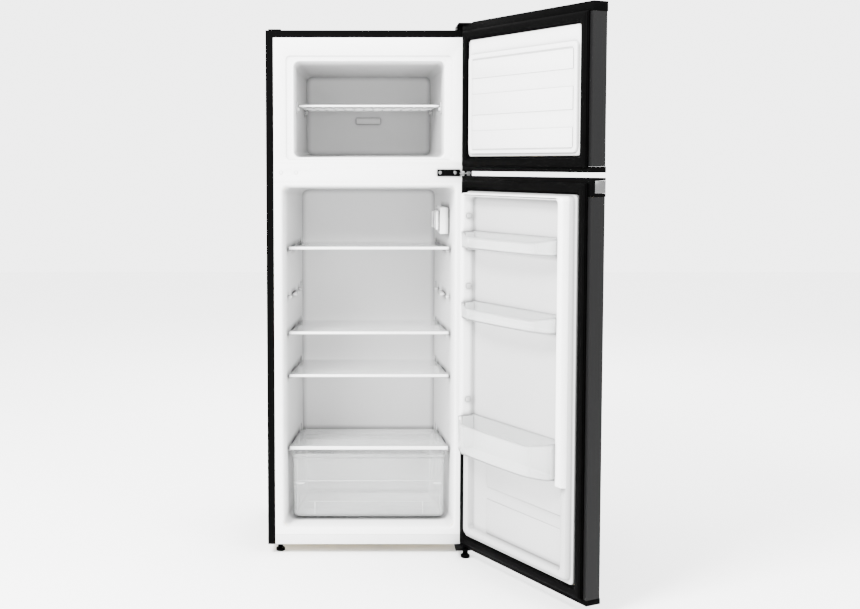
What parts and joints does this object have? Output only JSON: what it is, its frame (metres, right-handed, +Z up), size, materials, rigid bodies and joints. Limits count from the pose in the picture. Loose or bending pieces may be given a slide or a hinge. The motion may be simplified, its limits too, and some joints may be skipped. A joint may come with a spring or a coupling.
{
  "type": "top freezer refrigerator",
  "caption": "Free-standing top freezer refrigerator with two hinged doors, sliding glass shelves, a wire freezer shelf, a clear crisper drawer and lift-off door bins.",
  "frame": {"origin": "middle of the footprint on the floor, with both doors standing open 118 degrees", "axes": "+Z up; the cabinet's front faces -Y and its hinge side is towards +X"},
  "size_m": [0.8156, 1.0012, 1.4305],
  "materials": {
    "black_steel": "satin",
    "grey_steel": "satin",
    "bare_steel": "satin",
    "grey_rail": "satin",
    "silver_trim": "satin",
    "copper": "satin",
    "white_liner": "satin",
    "white_wire": "gloss",
    "black_plastic": "matte",
    "gasket": "matte",
    "foam": "matte",
    "clear_glass": "polished",
    "clear_plastic": "gloss"
  },
  "bodies": {
    "cabinet": {"cabinet_shell": "black_steel", "mid_hinge_bracket": "black_steel", "bottom_hinge_bracket": "black_steel", "compressor": "black_steel", "back_panel": "grey_steel", "compressor_tray": "grey_steel", "top_hinge_bracket": "bare_steel", "mid_hinge_screw_1": "bare_steel", "mid_hinge_screw_2": "bare_steel", "evaporator_plate": "bare_steel", "bottom_front_rail": "grey_rail", "filter_drier": "copper", "suction_tube": "copper", "discharge_tube": "copper", "condenser_coil": "copper", "freezer_liner": "white_liner", "fridge_liner": "white_liner", "mullion_cover": "white_liner", "mullion_plug_1": "white_liner", "mullion_plug_2": "white_liner", "crisper_cover_trim": "white_liner", "thermostat_housing": "white_liner", "spare_hinge_plug": "black_plastic", "top_hinge_cover": "black_plastic", "front_foot_left": "black_plastic", "front_foot_right": "black_plastic", "rear_foot_left": "black_plastic", "rear_foot_right": "black_plastic", "relay_cover": "black_plastic", "drip_tray": "black_plastic", "mains_inlet_gland": "black_plastic", "cabinet_insulation": "foam", "crisper_cover": "clear_glass", "lamp_bulb": "clear_glass", "lamp_lens": "clear_plastic"},
    "freezer_door": {"freezer_door_skin": "black_steel", "freezer_door_top_cap": "black_plastic", "freezer_door_bottom_cap": "black_plastic", "freezer_door_insulation": "foam", "freezer_door_gasket": "gasket", "freezer_door_liner": "white_liner"},
    "fridge_door": {"fridge_door_skin": "black_steel", "fridge_door_top_cap": "black_plastic", "fridge_door_bottom_cap": "black_plastic", "fridge_door_insulation": "foam", "fridge_door_gasket": "gasket", "fridge_door_liner": "white_liner", "grip_trim": "silver_trim"},
    "top_shelf": {"glass_shelf_1": "clear_glass", "shelf_trim_1": "white_liner"},
    "middle_shelf": {"glass_shelf_2": "clear_glass", "shelf_trim_2": "white_liner"},
    "lower_shelf": {"glass_shelf_3": "clear_glass", "shelf_trim_3": "white_liner"},
    "crisper": {"crisper_drawer": "clear_plastic"},
    "freezer_shelf": {"wire_shelf": "white_wire"},
    "knob": {"thermostat_knob": "white_liner"},
    "upper_bin": {"door_bin_1": "clear_plastic"},
    "middle_bin": {"door_bin_2": "clear_plastic"},
    "bottle_bin": {"bottle_bin": "clear_plastic"}
  },
  "joints": [
    {"name": "freezer_door_hinge", "type": "hinge", "parent": "cabinet", "child": "freezer_door", "pos_m": [0.13017, -0.01944, 1.23], "axis": [0, 0, 1], "range_deg": [-118, 8]},
    {"name": "fridge_door_hinge", "type": "hinge", "parent": "cabinet", "child": "fridge_door", "pos_m": [0.13017, -0.01944, 0.53], "axis": [0, 0, 1], "range_deg": [-118, 8]},
    {"name": "top_shelf_slide", "type": "slide", "parent": "cabinet", "child": "top_shelf", "axis": [0, -1, 0], "range_m": [0, 0.19]},
    {"name": "middle_shelf_slide", "type": "slide", "parent": "cabinet", "child": "middle_shelf", "axis": [0, -1, 0], "range_m": [0, 0.19]},
    {"name": "lower_shelf_slide", "type": "slide", "parent": "cabinet", "child": "lower_shelf", "axis": [0, -1, 0], "range_m": [0, 0.19]},
    {"name": "crisper_slide", "type": "slide", "parent": "cabinet", "child": "crisper", "axis": [0, -1, 0], "range_m": [0, 0.19]},
    {"name": "freezer_shelf_slide", "type": "slide", "parent": "cabinet", "child": "freezer_shelf", "axis": [0, -1, 0], "range_m": [0, 0.19]},
    {"name": "knob_turn", "type": "hinge", "parent": "cabinet", "child": "knob", "pos_m": [0.05317, 0.21056, 0.905], "axis": [-1, 0, 0], "range_deg": [0, 270]},
    {"name": "upper_bin_lift", "type": "slide", "parent": "fridge_door", "child": "upper_bin", "axis": [0, 0, 1], "range_m": [0, 0.03]},
    {"name": "middle_bin_lift", "type": "slide", "parent": "fridge_door", "child": "middle_bin", "axis": [0, 0, 1], "range_m": [0, 0.03]},
    {"name": "bottle_bin_lift", "type": "slide", "parent": "fridge_door", "child": "bottle_bin", "axis": [0, 0, 1], "range_m": [0, 0.03]}
  ]
}
